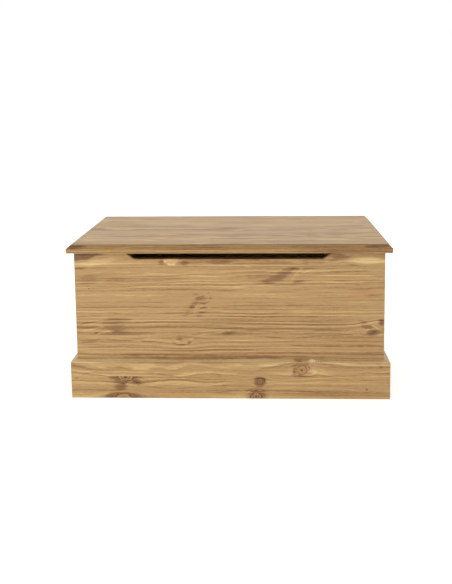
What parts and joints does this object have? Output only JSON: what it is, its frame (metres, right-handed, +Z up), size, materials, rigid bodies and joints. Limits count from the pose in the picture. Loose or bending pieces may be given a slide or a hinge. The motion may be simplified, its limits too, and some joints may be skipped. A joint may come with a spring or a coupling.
{
  "type": "storage trunk",
  "caption": "Low pine storage trunk with an overhanging hinged lid, a long shallow hand slot under it, a bevelled plinth to the floor and a slotted lid stay inside.",
  "frame": {"origin": "on the floor, under the middle of the whole trunk with its hinge knuckles", "axes": "+X along the width, to the right as seen from the front; +Y towards the back, where the hinges are; +Z up. The front with the hand slot faces -Y."},
  "size_m": [0.83, 0.4212, 0.406],
  "materials": {
    "lid_pine": "waxed pine, glued up from staves, satin",
    "carcass_pine": "waxed pine, glued up from staves, satin",
    "plinth_pine": "waxed pine, satin",
    "bare_pine": "planed pine, unfinished",
    "base_plywood": "sanded plywood, unfinished",
    "hinge_brass": "pressed and rolled brass, satin",
    "stay_brass": "pressed brass, satin, with turned rivet and stud",
    "screw_steel": "zinc-plated steel"
  },
  "bodies": {
    "carcass": {"front_panel": "carcass_pine", "back_panel": "carcass_pine", "end_panel_left": "carcass_pine", "end_panel_right": "carcass_pine", "plinth_front": "plinth_pine", "plinth_left": "plinth_pine", "plinth_right": "plinth_pine", "corner_post_front_left": "bare_pine", "corner_post_front_right": "bare_pine", "corner_post_back_left": "bare_pine", "corner_post_back_right": "bare_pine", "base_panel": "base_plywood", "base_batten_front": "bare_pine", "base_batten_back": "bare_pine", "base_batten_left": "bare_pine", "base_batten_right": "bare_pine", "base_cross_rail": "bare_pine", "hinge_left_body_leaf": "hinge_brass", "hinge_left_pin": "hinge_brass", "hinge_left_body_screw_1": "screw_steel", "hinge_left_body_screw_2": "screw_steel", "hinge_left_body_screw_3": "screw_steel", "hinge_right_body_leaf": "hinge_brass", "hinge_right_pin": "hinge_brass", "hinge_right_body_screw_1": "screw_steel", "hinge_right_body_screw_2": "screw_steel", "hinge_right_body_screw_3": "screw_steel", "stay_stud": "stay_brass"},
    "lid": {"lid_panel": "lid_pine", "lid_batten_left": "bare_pine", "lid_batten_right": "bare_pine", "hinge_left_lid_leaf": "hinge_brass", "hinge_left_lid_screw_1": "screw_steel", "hinge_left_lid_screw_2": "screw_steel", "hinge_left_lid_screw_3": "screw_steel", "lid_batten_left_screw_1": "screw_steel", "lid_batten_left_screw_2": "screw_steel", "lid_batten_left_screw_3": "screw_steel", "hinge_right_lid_leaf": "hinge_brass", "hinge_right_lid_screw_1": "screw_steel", "hinge_right_lid_screw_2": "screw_steel", "hinge_right_lid_screw_3": "screw_steel", "lid_batten_right_screw_1": "screw_steel", "lid_batten_right_screw_2": "screw_steel", "lid_batten_right_screw_3": "screw_steel", "stay_bracket": "stay_brass", "stay_rivet": "stay_brass", "stay_bracket_screw_front": "screw_steel", "stay_bracket_screw_back": "screw_steel"},
    "stay": {"stay_arm": "stay_brass"}
  },
  "joints": [
    {"name": "lid_hinge", "type": "hinge", "parent": "carcass", "child": "lid", "pos_m": [0, 0.20765, 0.38445], "axis": [-1, 0, 0], "range_deg": [0, 95]},
    {"name": "stay_pivot", "type": "hinge", "parent": "lid", "child": "stay", "pos_m": [0.3769, 0.04965, 0.37063], "axis": [1, 0, 0], "range_deg": [0, 47.5]}
  ],
  "couplings": [
    {"joint": "stay_pivot", "follows": "lid_hinge", "ratio": 0.5}
  ]
}
